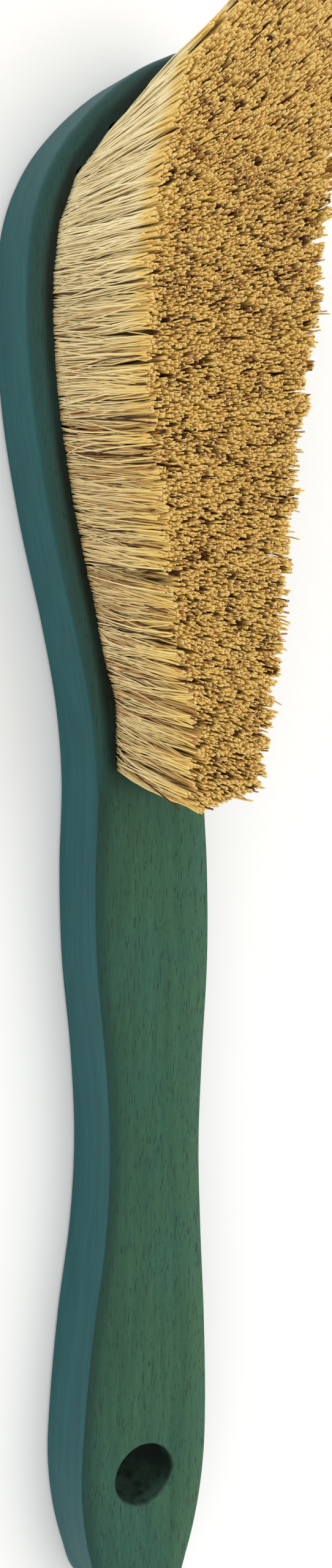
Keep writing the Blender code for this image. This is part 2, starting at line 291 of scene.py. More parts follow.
# Lights: place, width, power in watts and colour
KEY_LIGHT = ((0.30, -0.20, 0.95), 0.9, 3.2, (1.0, 0.97, 0.92))
FILL_LIGHT = ((0.1, 0.8, 0.5), 0.9, 1.1, (0.94, 0.98, 1.0))
SKY_COLOUR = (1.0, 1.0, 0.99, 1.0)
SKY_STRENGTH = 0.92
WHITE = (1.0, 1.0, 1.0, 1.0)
BACKDROP_STRENGTH = 1.0

# Sockets of a Mix node that is set to colours: its factor and two colours, then its result
MIX_INPUTS = (0, 6, 7)
MIX_RESULT = 2


def srgb(red, green, blue):
    """Colour as seen on a screen, from 0 to 255, as the linear colour that a shader takes."""
    linear = []
    for level in (red, green, blue):
        share = level / 255.0
        linear.append(share / 12.92 if share <= 0.04045 else ((share + 0.055) / 1.055) ** 2.4)
    return (*linear, 1.0)


FRONT_DARK = srgb(42, 80, 57)
FRONT_LIGHT = srgb(56, 96, 70)
# FRONT_PALE is a painted highlight along the front's right edge
FRONT_PALE = srgb(66, 102, 76)
# FRONT_STRIP is painted shade along the front's left edge
FRONT_STRIP = srgb(20, 57, 45)
# The head's ridge is a painted highlight, and its shade is the bristles' painted shade
HEAD_RIDGE = srgb(38, 74, 64)
HEAD_SHADE = srgb(10, 17, 12)
# The walls' colours are bluer than the front's: painted cool light on the walls
WALL_DARK = srgb(8, 70, 75)
WALL_LIGHT = srgb(21, 86, 88)
# The grain's dark colour, also used as painted shade on the left rounding
GRAIN_AND_SHADE_DARK = srgb(24, 54, 46)
FLECK = srgb(14, 34, 28)
# The bore's dark is painted shade over its darker end grain, and its light is painted light
BORE_DARK = srgb(20, 36, 30)
BORE_LIGHT = srgb(56, 84, 72)

# Colours of a hair by the share along it, from its foot to its tip
HAIR_COLOURS = (
    (0.0, srgb(226, 200, 142)),
    (0.10, srgb(249, 232, 184)),
    (0.60, srgb(249, 230, 172)),
    (0.92, srgb(249, 222, 138)),
    (1.0, srgb(244, 217, 142)),
)
HAIR_WARMTH = srgb(248, 234, 208)
# HAIR_PALE is painted light on the toe's left side
HAIR_PALE = srgb(252, 236, 188)
HAIR_AMBER = srgb(190, 140, 84)
HAIR_DARK = srgb(84, 52, 32)


def smooth_step(value):
    """Smooth rise from 0 to 1 as the value does."""
    value = min(max(value, 0.0), 1.0)
    return value * value * (3.0 - 2.0 * value)


def curve_point(at, knots, points):
    """Point of a Catmull-Rom curve between the second and third of four points."""
    level = list(points)
    for width in (1, 2, 2):
        blended = []
        for index in range(len(level) - 1):
            if len(level) == 2:
                low, high = knots[1], knots[2]
            else:
                low, high = knots[index], knots[index + width]
            share = (at - low) / (high - low)
            blended.append(level[index] * (1.0 - share) + level[index + 1] * share)
        level = blended
    return level[0]


def curve_through(points, steps):
    """Closed smooth curve through the points, with even speed between near and far neighbours."""
    points = [np.array(point) for point in points]
    count = len(points)
    curve = []
    for index in range(count):
        before, start, end, after = (points[(index + offset) % count] for offset in (-1, 0, 1, 2))
        knots = [0.0]
        for first, second in ((before, start), (start, end), (end, after)):
            knots.append(knots[-1] + math.sqrt(np.linalg.norm(second - first)))
        for step in range(steps):
            at = knots[1] + (knots[2] - knots[1]) * step / steps
            curve.append(curve_point(at, knots, (before, start, end, after)))
    return curve


def plan_outline(low, high):
    """Points round the board seen from above, in the frame's X and Y."""
    length = high.x - low.x
    left_side = []
    right_side = []
    for length_share, width_share, width, offset_share, offset in PLAN_SHARES:
        along = length_share * length
        middle = offset_share * offset
        half = width_share * width / 2.0
        left_side.append((along, middle + half))
        right_side.append((along, middle - half))
    corners = [(0.0, 0.0)] + right_side + [(length, -TOE_SWEEP)] + left_side[::-1]
    outline = curve_through(corners, CURVE_STEPS)
    across = [point[1] for point in outline]
    shift = np.array((low.x, (low.y + high.y) / 2.0 - (min(across) + max(across)) / 2.0))
    return [point + shift for point in outline]


def outline_normals(outline):
    """Outward direction at each point of the plan's outline."""
    normals = []
    count = len(outline)
    for index in range(count):
        run = outline[(index + 1) % count] - outline[index - 1]
        normals.append(np.array((run[1], -run[0])) / np.linalg.norm(run))
    return normals


def front_edge_radius(share):
    """Radius of the front edge, which is crisp on the grip and well rounded on the head."""
    blend = smooth_step((share - HEAD_EDGE_FROM_SHARE) / (HEAD_EDGE_FULL_SHARE - HEAD_EDGE_FROM_SHARE))
    return GRIP_EDGE_RADIUS + (HEAD_EDGE_RADIUS - GRIP_EDGE_RADIUS) * blend


def edge_rings(outline, normals, radii, height, way):
    """Rings of points round a face's edge, from the wall to the face. The face looks up where way is 1."""
    rings = []
    for step in range(EDGE_STEPS + 1):
        turn = math.pi / 2.0 * step / EDGE_STEPS
        ring = []
        for point, normal, radius in zip(outline, normals, radii):
            flat = point - normal * radius * (1.0 - math.cos(turn))
            ring.append((flat[0], flat[1], height - way * radius * (1.0 - math.sin(turn))))
        rings.append(ring)
    return rings


def bridge(shape, lower, upper):
    """Faces between two rings of points."""
    for index in range(len(lower)):
        after = (index + 1) % len(lower)
        shape.faces.new((lower[index], lower[after], upper[after], upper[index]))


def loft(shape, rings):
    """Closed body through rings of equal count, with a flat face at each end."""
    layers = [[shape.verts.new(point) for point in ring] for ring in rings]
    for lower, upper in zip(layers, layers[1:]):
        bridge(shape, lower, upper)
    shape.faces.new(layers[0][::-1])
    shape.faces.new(layers[-1])


def mesh_object(name, shape):
    """Object in the scene from a shape, whose faces are turned outwards."""
    bmesh.ops.recalc_face_normals(shape, faces=shape.faces)
    mesh = bpy.data.meshes.new(name)
    shape.to_mesh(mesh)
    shape.free()
    thing = bpy.data.objects.new(name, mesh)
    bpy.context.scene.collection.objects.link(thing)
    return thing


def circle(middle, radius, height, sides):
    """Ring of points at one height."""
    points = []
    for index in range(sides):
        turn = 2.0 * math.pi * index / sides
        points.append((middle[0] + radius * math.cos(turn), middle[1] + radius * math.sin(turn), height))
    return points


def carve(board, cutter):
    """Cuts the cutter out of the board for good, and removes it."""
    modifier = board.modifiers.new("carve", "BOOLEAN")
    modifier.operation = "DIFFERENCE"
    modifier.solver = "EXACT"
    modifier.object = cutter
    shown = board.evaluated_get(bpy.context.evaluated_depsgraph_get())
    carved = bpy.data.meshes.new_from_object(shown)
    board.modifiers.remove(modifier)
    board.data = carved
    bpy.data.objects.remove(cutter, do_unlink=True)


def tuft_ends(node):
    """Where a tuft's root plug meets the face, and the low and high corners of its tips."""
    places = np.array([vertex.co for vertex in node.data.vertices])
    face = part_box("handle")[1].z
    top = places[:, 2].max()
    root = places[np.abs(places[:, 2] - face) < LEVEL_APART].mean(axis=0)
    tips = places[places[:, 2] > top - LEVEL_APART]
    return root, tips.min(axis=0), tips.max(axis=0)


def tuft_rows(tufts):
    """Places in the list of tufts, row by row from heel to toe, and in a row from low Y to high Y."""
    rows = []
    for index in sorted(range(len(tufts)), key=lambda place: tufts[place][0][0]):
        if rows and abs(tufts[rows[-1][0]][0][0] - tufts[index][0][0]) < ROW_APART:
            rows[-1].append(index)
        else:
            rows.append([index])
    return [sorted(row, key=lambda place: tufts[place][0][1]) for row in rows]


class Field:
    """Where roots and tips lie, along the brush and across it, read from the tufts."""

    def __init__(self, tufts, rows, random):
        self.offsets = random.uniform(0.0, 1.0, (OFFSET_CELLS, OFFSET_CELLS, 2))
        self.counts = [len(row) for row in rows]
        first = [tufts[row[0]] for row in rows]
        last = [tufts[row[-1]] for row in rows]
        self.root_along = np.array([root[0] for root, _, _ in first])
        self.root_low = np.array([root[1] for root, _, _ in first]) - OUTER_ROOT_REACH
        self.root_high = np.array([root[1] for root, _, _ in last]) + OUTER_ROOT_REACH
        self.tip_along = np.array([(low[0] + high[0]) / 2.0 for _, low, high in first])
        margin = np.array([high[1] - low[1] for _, low, high in first]) * TIP_MARGIN_SHARE
        self.tip_low = np.array([low[1] for _, low, _ in first]) - margin
        self.tip_high = np.array([high[1] for _, _, high in last]) + margin
        self.tip_low[-len(TOE_SPREAD_RIGHT):] -= TOE_SPREAD_RIGHT
        self.tip_high[-len(TOE_SPREAD_LEFT):] += TOE_SPREAD_LEFT
        self.tip_low[:len(HEEL_NARROWING)] += HEEL_NARROWING
        self.tip_top = first[0][2][2]

    def place(self, row, across):
        """Root and tip X and Y for row numbers with fractions and for shares across, from 0 to 1."""
        numbers = np.arange(len(self.counts))
        found = []
        for along, low, high in ((self.root_along, self.root_low, self.root_high),
                                 (self.tip_along, self.tip_low, self.tip_high)):
            x = interpolate(row, numbers, along)
            y_low = interpolate(row, numbers, low)
            y_high = interpolate(row, numbers, high)
            found.append(np.stack([x, y_low + (y_high - y_low) * across], axis=1))
        found[1][:, 0] += HEEL_SLANT * (1.0 - across) * np.maximum(1.0 - row, 0.0)
        return found


def interpolate(at, places, values):
    """Straight lines through the values, drawn out past both ends."""
    inside = np.interp(at, places, values)
    before = values[0] + (at - places[0]) * (values[1] - values[0])
    after = values[-1] + (at - places[-1]) * (values[-1] - values[-2])
    return np.where(at < places[0], before, np.where(at > places[-1], after, inside))


def hang_hole_cutter(middle, low, high):
    """Cutter of the hang hole, flared in a soft rounding at each face."""
    radius = HANG_HOLE_DIAMETER / 2.0
    rounding = []
    for step in range(EDGE_STEPS + 1):
        turn = math.pi / 2.0 * step / EDGE_STEPS
        rise = HANG_HOLE_ROUNDING * (1.0 - math.cos(turn))
        rounding.append((rise, radius + HANG_HOLE_ROUNDING * (1.0 - math.sin(turn))))
    levels = [(low.z - CUT_OVERRUN, radius + HANG_HOLE_ROUNDING)]
    levels += [(low.z + rise, size) for rise, size in rounding]
    levels += [(high.z - rise, size) for rise, size in rounding[::-1]]
    levels += [(high.z + CUT_OVERRUN, radius + HANG_HOLE_ROUNDING)]
    shape = bmesh.new()
    loft(shape, [circle(middle, size, height, ROUND_SIDES) for height, size in levels])
    return mesh_object("hang_hole_cutter", shape)


def drill_cutter(tufts, face):
    """Cutter of all the tuft holes, each along its leaning bundle."""
    shape = bmesh.new()
    for root, tip_low, tip_high in tufts:
        tip = (tip_low + tip_high) / 2.0
        lean = (tip - root) / (tip[2] - root[2])
        rings = []
        for height in (face - TUFT_HOLE_DEPTH, face + CUT_OVERRUN):
            middle = root + lean * (height - root[2])
            rings.append(circle(middle, TUFT_HOLE_DIAMETER / 2.0, height, DRILL_SIDES))
        loft(shape, rings)
    return mesh_object("drill_cutter", shape)


def make_board(hole, tufts):
    """The whole board with its hang hole and its tuft holes."""
    low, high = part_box("handle")
    outline = plan_outline(low, high)
    normals = outline_normals(outline)
    shares = [(point[0] - low.x) / (high.x - low.x) for point in outline]
    back = edge_rings(outline, normals, [BACK_EDGE_RADIUS] * len(outline), low.z, -1)
    front = edge_rings(outline, normals, [front_edge_radius(share) for share in shares], high.z, 1)
    shape = bmesh.new()
    loft(shape, back[::-1] + front)
    board = mesh_object("wood_handle", shape)
    carve(board, hang_hole_cutter(hole, low, high))
    carve(board, drill_cutter(tufts, high.z))
    board.data.shade_smooth()
    board.data.set_sharp_from_angle(angle=math.radians(SHARP_DEGREES))
    weighted = board.modifiers.new("even_shading", "WEIGHTED_NORMAL")
    weighted.keep_sharp = True
    weighted.weight = EVEN_SHADING_WEIGHT
    return board


def noise_at(places, length, plane):
    """Smooth noise at places in X and Y, with features of that length."""
    return np.array([noise.noise((x / length, y / length, plane)) for x, y in places])


def nearest_gathering(places, size, offsets):
    """The nearest to each place of many scattered points, one in each cell of a grid."""
    cells = np.floor(places / size).astype(int)
    best = np.full(len(places), np.inf)
    nearest = places.copy()
    for step_x in (-1, 0, 1):
        for step_y in (-1, 0, 1):
            cell = cells + (step_x, step_y)
            points = (cell + offsets[cell[:, 0] % len(offsets), cell[:, 1] % len(offsets)]) * size
            distance = np.linalg.norm(points - places, axis=1)
            closer = distance < best
            best[closer] = distance[closer]
            nearest[closer] = points[closer]
    return nearest


def fringe_cells(row, row_count, length, width, random):
    """Shares along and across one row of the extra hairs that close the field's outer face."""
    side = FRINGE_DEPTH / width
    end = FRINGE_DEPTH / length
    strips = [((0.0, 1.0), (0.0, side)), ((0.0, 1.0), (1.0 - side, 1.0))]
    if row == 0:
        strips.append(((0.0, end), (0.0, 1.0)))
    if row == row_count - 1:
        strips.append(((1.0 - end, 1.0), (0.0, 1.0)))
    cells = []
    for (from_x, to_x), (from_y, to_y) in strips:
        area = (to_x - from_x) * length * (to_y - from_y) * width
        count = round(FRINGE_PER_SQUARE_MM * area * SQUARE_MM_IN_SQUARE_M)
        places = [random.uniform(from_x, to_x, count), random.uniform(from_y, to_y, count)]
        cells.append(np.stack(places, axis=1))
    return np.concatenate(cells)


def hair_cells(field, row, width, random):
    """Shares along and across one row of each of its hairs: a grid's cells, then the fringe."""
    low_corner = field.place(np.array([row - 0.5]), np.array([0.0]))[1][0]
    high_corner = field.place(np.array([row + 0.5]), np.array([1.0]))[1][0]
    length = high_corner[0] - low_corner[0]
    count = HAIRS_PER_SQUARE_MM * length * width * SQUARE_MM_IN_SQUARE_M
    across = max(FEWEST_CELLS, round(math.sqrt(count * width / length)))
    along = max(FEWEST_CELLS, round(count / across))
    cells_x, cells_y = np.meshgrid(np.arange(along), np.arange(across), indexing="ij")
    cells = np.stack([cells_x.ravel(), cells_y.ravel()], axis=1)
    cells = cells + random.uniform(0.0, 1.0, (along * across, 2))
    cells /= np.array([along, across])
    return np.concatenate([cells, fringe_cells(row, len(field.counts), length, width, random)])


def hair_roots(field, row, cells, face, random):
    """Roots, each near its tip's place and drawn into its tuft."""
    tuft_count = field.counts[row]
    crossing = np.array((ROOT_CROSSING, ROOT_CROSSING / tuft_count))
    crossed = np.clip(cells + random.normal(0.0, 1.0, cells.shape) * crossing, 0.0, 1.0)
    place = crossed[:, 1] * tuft_count
    middle = np.floor(np.minimum(place, tuft_count - TUFT_END_SLACK)) + 0.5
    drawn = middle + (place - middle) * TUFT_FILL_ACROSS
    root_row = row + (crossed[:, 0] - 0.5) * TUFT_FILL_ALONG
    roots = np.full((len(cells), 3), face - HAIR_SINK)
    roots[:, :2] = field.place(root_row, drawn / tuft_count)[0]
    return roots


def toe_looks(past_end, from_left):
    """How far hairs bend, less towards the toe's end, and along its left side how far they have fewer dark
    hairs and are painted paler as painted light.

    The first argument counts rows from the last one on, the second is the distance from the left side."""
    calm = 1.0 - TOE_CALM_SHARE * np.clip((past_end + TOE_CALM_ROWS) / TOE_CALM_ROWS, 0.0, 1.0)
    outer = np.clip(1.0 - from_left / SHELL_DEPTH, 0.0, 1.0)
    # Mask for fewer dark hairs and for painted light along the toe's left side
    clean_and_lit = outer * np.clip((past_end + TOE_CLEAN_AND_LIT_ROWS) / TOE_CLEAN_AND_LIT_FADE_ROWS, 0.0, 1.0)
    return calm, clean_and_lit


def hair_tips(field, places, from_right, from_left, calm, random):
    """Tips of the hairs near those places, and each one's way to the middle of its wisp."""
    count = len(places)
    tips = np.zeros((count, 3))
    tips[:, :2] = places + random.normal(0.0, TIP_WANDER, (count, 2))
    wisps = nearest_gathering(tips[:, :2], WISP_SIZE, field.offsets)
    to_wisp = wisps - tips[:, :2]

    # Whole wisps stand out or lie back along the two long sides
    raggedness = noise_at(wisps, WISP_SIZE, RAGGED_PLANE)
    pull = np.full(count, WISP_TIP_PULL)
    for way, from_side in ((-1.0, from_right), (1.0, from_left)):
        near = np.maximum(1.0 - from_side / RAGGED_DEPTH, 0.0)
        tips[:, 1] += way * RAGGED_REACH * raggedness * near * calm
        pull += RAGGED_PULL * near
    tips[:, :2] += to_wisp * pull[:, None]

    clumps = nearest_gathering(tips[:, :2], CLUMP_SIZE, field.offsets)
    tips[:, :2] += (clumps - tips[:, :2]) * CLUMP_PULL
    tips[:, 2] = field.tip_top + random.uniform(-TRIM_JITTER, TRIM_JITTER, count)
    tips[:, 2] += TRIM_WAVE * noise_at(tips[:, :2], TRIM_WAVE_LENGTH, TRIM_WAVE_PLANE)
    tips[:, 2] += TRIM_CLUMP * noise_at(clumps, CLUMP_SIZE, TRIM_CLUMP_PLANE)
    return tips, to_wisp


def hair_bends(to_wisp, calm, random):
    """Bow, sway and shift of the tip of each hair. Only the few stray hairs have a shift."""
    count = len(calm)
    bow = np.zeros((count, 3))
    bow[:, :2] = random.normal(0.0, BOW, (count, 2)) + to_wisp * WISP_MIDDLE_PULL
    sway = np.zeros((count, 3))
    sway[:, :2] = random.normal(0.0, SWAY, (count, 2))
    stray = random.uniform(0.0, 1.0, count) < STRAY_SHARE
    limit = STRAY_BOW_LIMIT * STRAY_BOW
    bow[stray, :2] = np.clip(random.normal(0.0, STRAY_BOW, (stray.sum(), 2)), -limit, limit)
    bow[stray, 0] *= STRAY_BOW_ALONG
    shift = np.zeros((count, 3))
    shift[stray, :2] = random.normal(0.0, STRAY_REACH, (stray.sum(), 2))
    return bow * calm[:, None], sway * calm[:, None], shift * calm[:, None]


def hair_layout(field, row, face, random):
    """Roots, tips, bows, sways, and the mask of fewer dark hairs and painted light, of one row's hairs, and
    which stand near the field's edge.
    """
    width = field.tip_high[row] - field.tip_low[row]
    cells = hair_cells(field, row, width, random)
    tip_row = row + (cells[:, 0] - 0.5) * ROW_OVERLAP
    last_row = len(field.counts) - 1
    from_right = cells[:, 1] * width
    from_left = (1.0 - cells[:, 1]) * width
    calm, clean_and_lit = toe_looks(tip_row - last_row, from_left)
    roots = hair_roots(field, row, cells, face, random)
    places = field.place(tip_row, cells[:, 1])[1]
    tips, to_wisp = hair_tips(field, places, from_right, from_left, calm, random)
    bows, sways, shifts = hair_bends(to_wisp, calm, random)
    edge = np.minimum(from_right, from_left) < SHELL_DEPTH
    edge |= (tip_row < SHELL_ROWS) | (tip_row > last_row - SHELL_ROWS)
    return roots, tips + shifts, bows, sways, clean_and_lit, edge


def hair_triangles(stages, count):
    """Triangles of that many hairs with these rings, as places in their list of points."""
    per_hair = len(stages) * HAIR_SIDES + 2
    faces = []
    for stage in range(len(stages) - 1):
        for corner in range(HAIR_SIDES):
            after = (corner + 1) % HAIR_SIDES
            low, high = stage * HAIR_SIDES, (stage + 1) * HAIR_SIDES
            faces.append((low + corner, low + after, high + after))
            faces.append((low + corner, high + after, high + corner))
    last = (len(stages) - 1) * HAIR_SIDES
    for corner in range(HAIR_SIDES):
        after = (corner + 1) % HAIR_SIDES
        faces.append((last + corner, last + after, per_hair - 2))
        faces.append((after, corner, per_hair - 1))
    return (np.array(faces)[None] + (np.arange(count) * per_hair)[:, None, None]).reshape(-1, 3)


def hair_points(layout, stages, random):
    """Points and looks of the hairs. Each has its rings from foot to tip, then its tip and its foot."""
    roots, tips, bows, sways, clean_and_lit = layout
    count = len(roots)
    radius = HAIR_RADIUS + random.uniform(-HAIR_RADIUS_SPREAD, HAIR_RADIUS_SPREAD, count)
    axis = tips - roots
    axis /= np.linalg.norm(axis, axis=1)[:, None]
    side = np.cross(axis, np.array([1.0, 0.0, 0.0]))
    side /= np.linalg.norm(side, axis=1)[:, None]
    other = np.cross(axis, side)
    spin = random.uniform(0.0, 2.0 * math.pi, count)
    layers = []
    fan = np.array(FAN_SHARES)
    for stage in stages:
        spread = fan * (1.0 - (1.0 - stage) ** HAIR_FAN_POWER) + (1.0 - fan) * stage
        middle = roots + (tips - roots) * spread
        middle += bows * math.sin(math.pi * stage) + sways * math.sin(2.0 * math.pi * stage)
        size = radius * (HAIR_ROOT_SHARE + (1.0 - HAIR_ROOT_SHARE) * stage * stage)
        if stage == 1.0:
            size = radius * HAIR_TIP_SHARE
        for corner in range(HAIR_SIDES):
            turn = spin + 2.0 * math.pi * corner / HAIR_SIDES
            off_side = side * (np.cos(turn) * size)[:, None]
            layers.append(middle + off_side + other * (np.sin(turn) * size)[:, None])
    layers.append(tips + axis * (radius * HAIR_TIP_SHARE)[:, None])
    layers.append(roots)
    looks = hair_looks(tips[:, :2], clean_and_lit, stages, random)
    return np.stack(layers, axis=1).reshape(-1, 3), looks.reshape(-1, 4)


def hair_looks(tips, clean_and_lit, stages, random):
    """Tone, share along the hair, darkness, and the mask of fewer dark hairs and painted light, of every
    point, in the order of hair_points.
    """
    count = len(tips)
    along = np.repeat(stages, HAIR_SIDES).tolist() + [1.0, 0.0]
    looks = np.ones((count, len(along), 4))
    tone = TONE_SPREAD * random.uniform(0.0, 1.0, count) + TONE_LEAST
    tone = tone + TONE_WAVE * noise_at(tips, TONE_LENGTH, TONE_PLANE)
    looks[:, :, 0] = np.clip(tone, 0.0, 1.0)[:, None]
    looks[:, :, 1] = along

    # Amber and dark hairs stand closer together in patches and in small spots
    patch = np.maximum(noise_at(tips, PATCH_LENGTH, PATCH_PLANE), 0.0)
    spot = np.maximum(noise_at(tips, SPOT_LENGTH, SPOT_PLANE) - SPOT_FROM, 0.0)
    crowding = (1.0 + PATCH_STRENGTH * patch + SPOT_STRENGTH * spot) * (1.0 - TOE_CLEAN_SHARE * clean_and_lit)
    kind = random.uniform(0.0, 1.0, count) / crowding
    light = np.where(kind < DARK_SHARE + AMBER_SHARE, AMBER_DARKNESS, 0.0)
    looks[:, :, 2] = np.where(kind < DARK_SHARE, 1.0, light)[:, None]
    looks[:, :, 3] = clean_and_lit[:, None]
    return looks


def hair_mesh(name, points, looks, faces):
    """Mesh of triangles, whose points keep their looks in the attribute that the material reads."""
    mesh = bpy.data.meshes.new(name)
    mesh.vertices.add(len(points))
    mesh.vertices.foreach_set("co", points.ravel())
    mesh.loops.add(faces.size)
    mesh.loops.foreach_set("vertex_index", faces.ravel().astype(np.int32))
    mesh.polygons.add(len(faces))
    mesh.polygons.foreach_set("loop_start", np.arange(0, faces.size, 3, dtype=np.int32))
    mesh.update(calc_edges=True)
    layer = mesh.color_attributes.new(HAIR_ATTRIBUTE, "FLOAT_COLOR", "POINT")
    layer.data.foreach_set("color", looks.ravel())
    mesh.shade_smooth()
    return mesh


def make_bristle(name, field, row, face, material, random):
    """Every hair of one row as a thin closed tube with a short point, all in one mesh."""
    *layout, edge = hair_layout(field, row, face, random)
    parts = []
    made = 0
    for chosen, stages in ((edge, SHELL_STAGES), (~edge, CORE_STAGES)):
        points, looks = hair_points([values[chosen] for values in layout], stages, random)
        parts.append((points, looks, hair_triangles(stages, chosen.sum()) + made))
        made += len(points)
    mesh = hair_mesh(name, *[np.concatenate(values) for values in zip(*parts)])
    mesh.materials.append(material)
    thing = bpy.data.objects.new(name, mesh)
    bpy.context.scene.collection.objects.link(thing)
    return thing


class Nodes:
    """Short way to add and link a material's nodes. Values may be numbers or other nodes' outputs."""

    def __init__(self, name):
        self.material = bpy.data.materials.new(name)
        self.material.use_nodes = True
        self.tree = self.material.node_tree
        self.shader = self.tree.nodes["Principled BSDF"]

    def add(self, kind, inputs=(), **settings):
        node = self.tree.nodes.new(kind)
        for key, value in settings.items():
            setattr(node, key, value)
        for key, value in dict(inputs).items():
            self.feed(value, node.inputs[key])
        return node

    def feed(self, value, socket):
        if isinstance(value, bpy.types.NodeSocket):
            self.tree.links.new(value, socket)
        else:
            socket.default_value = value

    def link(self, output, key):
        self.tree.links.new(output, self.shader.inputs[key])

    def mix(self, factor, first, second, blend="MIX"):
        node = self.tree.nodes.new("ShaderNodeMix")
        node.data_type = "RGBA"
        node.blend_type = blend
        for index, value in zip(MIX_INPUTS, (factor, first, second)):
            self.feed(value, node.inputs[index])
        return node.outputs[MIX_RESULT]

    def ramp(self, value, stops):
        node = self.tree.nodes.new("ShaderNodeValToRGB")
        self.tree.links.new(value, node.inputs[0])
        elements = node.color_ramp.elements
        while len(elements) < len(stops):
            elements.new(0.5)
        for element, (place, colour) in zip(elements, stops):
            element.position = place
            element.color = colour
        return node.outputs[0]

    def step(self, value, low, high):
        """Smooth mask from 0 at low to 1 at high."""
        node = self.add("ShaderNodeMapRange", interpolation_type="SMOOTHSTEP")
        self.tree.links.new(value, node.inputs[0])
        node.inputs[1].default_value = low
        node.inputs[2].default_value = high
        return node.outputs[0]

    def curve(self, value, points):
        """Straight lines through the points, from 0 to 1 both ways."""
        node = self.tree.nodes.new("ShaderNodeFloatCurve")
        self.tree.links.new(value, node.inputs["Value"])
        line = node.mapping.curves[0]
        while len(line.points) < len(points):
            line.points.new(0.5, 0.5)
        for point, (x, y) in zip(line.points, points):
            point.location = (x, y)
            point.handle_type = "VECTOR"
        node.mapping.update()
        return node.outputs["Value"]

    def math(self, operation, first, second=0.0):
        node = self.tree.nodes.new("ShaderNodeMath")
        node.operation = operation
        for socket, value in zip(node.inputs, (first, second)):
            self.feed(value, socket)
        return node.outputs[0]

    def times(self, first, second):
        return self.math("MULTIPLY", first, second)

    def grain(self, place, detail, stretch):
        """Noise drawn out along the grain, with that many features in a metre along X, Y and Z."""
        mapped = self.add("ShaderNodeMapping", {"Vector": place, "Scale": stretch}).outputs[0]
        noisy = self.add("ShaderNodeTexNoise", {"Vector": mapped, "Scale": 1.0, "Detail": detail})
        return noisy.outputs[0]


def edge_curves(outline, low, high):
    """Y of the plan's two long edges at even steps of X, all as shares of the board's box."""
    shares = np.linspace(0.0, 1.0, EDGE_SAMPLES + 1)[1:-1]
    curves = []
    for pick in (min, max):
        curve = []
        for share in shares:
            along = low.x + share * (high.x - low.x)
            crossings = []
            for first, second in zip(outline, outline[1:] + outline[:1]):
                if (first[0] - along) * (second[0] - along) <= 0.0 and first[0] != second[0]:
                    part = (along - first[0]) / (second[0] - first[0])
                    crossings.append(first[1] + part * (second[1] - first[1]))
            curve.append((share, (pick(crossings) - low.y) / (high.y - low.y)))
        curves.append(curve)
    return curves


def edge_distances(nodes, along, across, low, high):
    """Distance from the board's right edge and from its left edge, seen from above."""
    distances = []
    for curve, way in zip(edge_curves(plan_outline(low, high), low, high), (1.0, -1.0)):
        edge = nodes.math("ADD", nodes.times(nodes.curve(along, curve), high.y - low.y), low.y)
        distances.append(nodes.times(nodes.math("SUBTRACT", across, edge), way))
    return distances


def front_colour(nodes, streaks, from_right, from_left, head):
    """Colour of the front: pale at its right edge, a painted highlight, and dark at its left, painted shade;
    on the head the bristles' painted shade within a paler ridge, a painted highlight.
    """
    colour = nodes.mix(nodes.step(streaks, *FRONT_STREAK_RANGE), FRONT_DARK, FRONT_LIGHT)
    # Painted highlight: paler towards the right edge, where the light falls
    colour = nodes.mix(nodes.step(from_right, PALE_EDGE, 0.0), colour, FRONT_PALE)
    # Painted shade: a dark strip and a wider shade along the left edge
    strip = nodes.times(nodes.step(from_left, DARK_STRIP_END, DARK_STRIP), STRIP_SHARE)
    shade = nodes.times(nodes.step(from_left, SHADE_END, 0.0), SHADE_SHARE)
    colour = nodes.mix(nodes.math("ADD", strip, shade), colour, FRONT_STRIP)
    # On the head, the front is painted dark as the bristles' shade, within a lighter ridge along its edge
    # that is a painted highlight
    nearest = nodes.math("MINIMUM", from_right, from_left)
    rim = nodes.mix(nodes.step(nearest, HEAD_SHADE_FROM, HEAD_SHADE_FULL), HEAD_RIDGE, HEAD_SHADE)
    return nodes.mix(head, colour, rim)


def with_bore(nodes, colour, place, spot, hole):
    """The colour with the hang hole darkened by painted shade over its darker end grain, and with painted
    light on its wall towards the tail.
    """
    off_x = nodes.math("SUBTRACT", spot.outputs["X"], hole[0])
    off_y = nodes.math("SUBTRACT", spot.outputs["Y"], hole[1])
    squares = nodes.math("ADD", nodes.math("POWER", off_x, 2.0), nodes.math("POWER", off_y, 2.0))
    radius = nodes.math("SQRT", squares)
    wear_and_light = nodes.grain(place, *BORE_WEAR_AND_LIGHT)
    radius = nodes.math("ADD", radius, nodes.times(nodes.math("SUBTRACT", wear_and_light, 0.5), RIM_WEAR))
    outer = HANG_HOLE_DIAMETER * BORE_OUTER_SHARE
    bore = nodes.step(radius, outer, HANG_HOLE_DIAMETER * BORE_INNER_SHARE)
    # Painted light on the bore's wall towards the tail, in patches
    lit = nodes.times(nodes.step(off_x, 0.0, -BORE_LIT_DEPTH), nodes.step(wear_and_light, *BORE_LIGHT_PATCH_RANGE))
    return nodes.mix(bore, colour, nodes.mix(lit, BORE_DARK, BORE_LIGHT))


def with_grain(nodes, colour, place, flat, fibres):
    """The colour with clouds, fibres, speckle and pores, and the pores' own mask."""
    clouds = nodes.step(nodes.grain(place, *CLOUDS), *CLOUD_RANGE)
    colour = nodes.mix(nodes.times(clouds, CLOUD_SHARE), colour, WALL_LIGHT)
    grained = nodes.math("ADD", nodes.times(flat, FLAT_GRAIN_SHARE), WALL_GRAIN_SHARE)
    fibre = nodes.times(nodes.step(fibres, *FIBRE_RANGE), FIBRE_SHARE)
    colour = nodes.mix(nodes.times(fibre, grained), colour, GRAIN_AND_SHADE_DARK)
    speckle = nodes.step(nodes.grain(place, *SPECKLE), *SPECKLE_RANGE)
    colour = nodes.mix(nodes.times(speckle, SPECKLE_SHARE), colour, GRAIN_AND_SHADE_DARK)
    fleck = nodes.times(nodes.step(nodes.grain(place, *PORES), *PORE_RANGE), grained)
    return nodes.mix(nodes.times(fleck, FLECK_SHARE), colour, FLECK), fleck


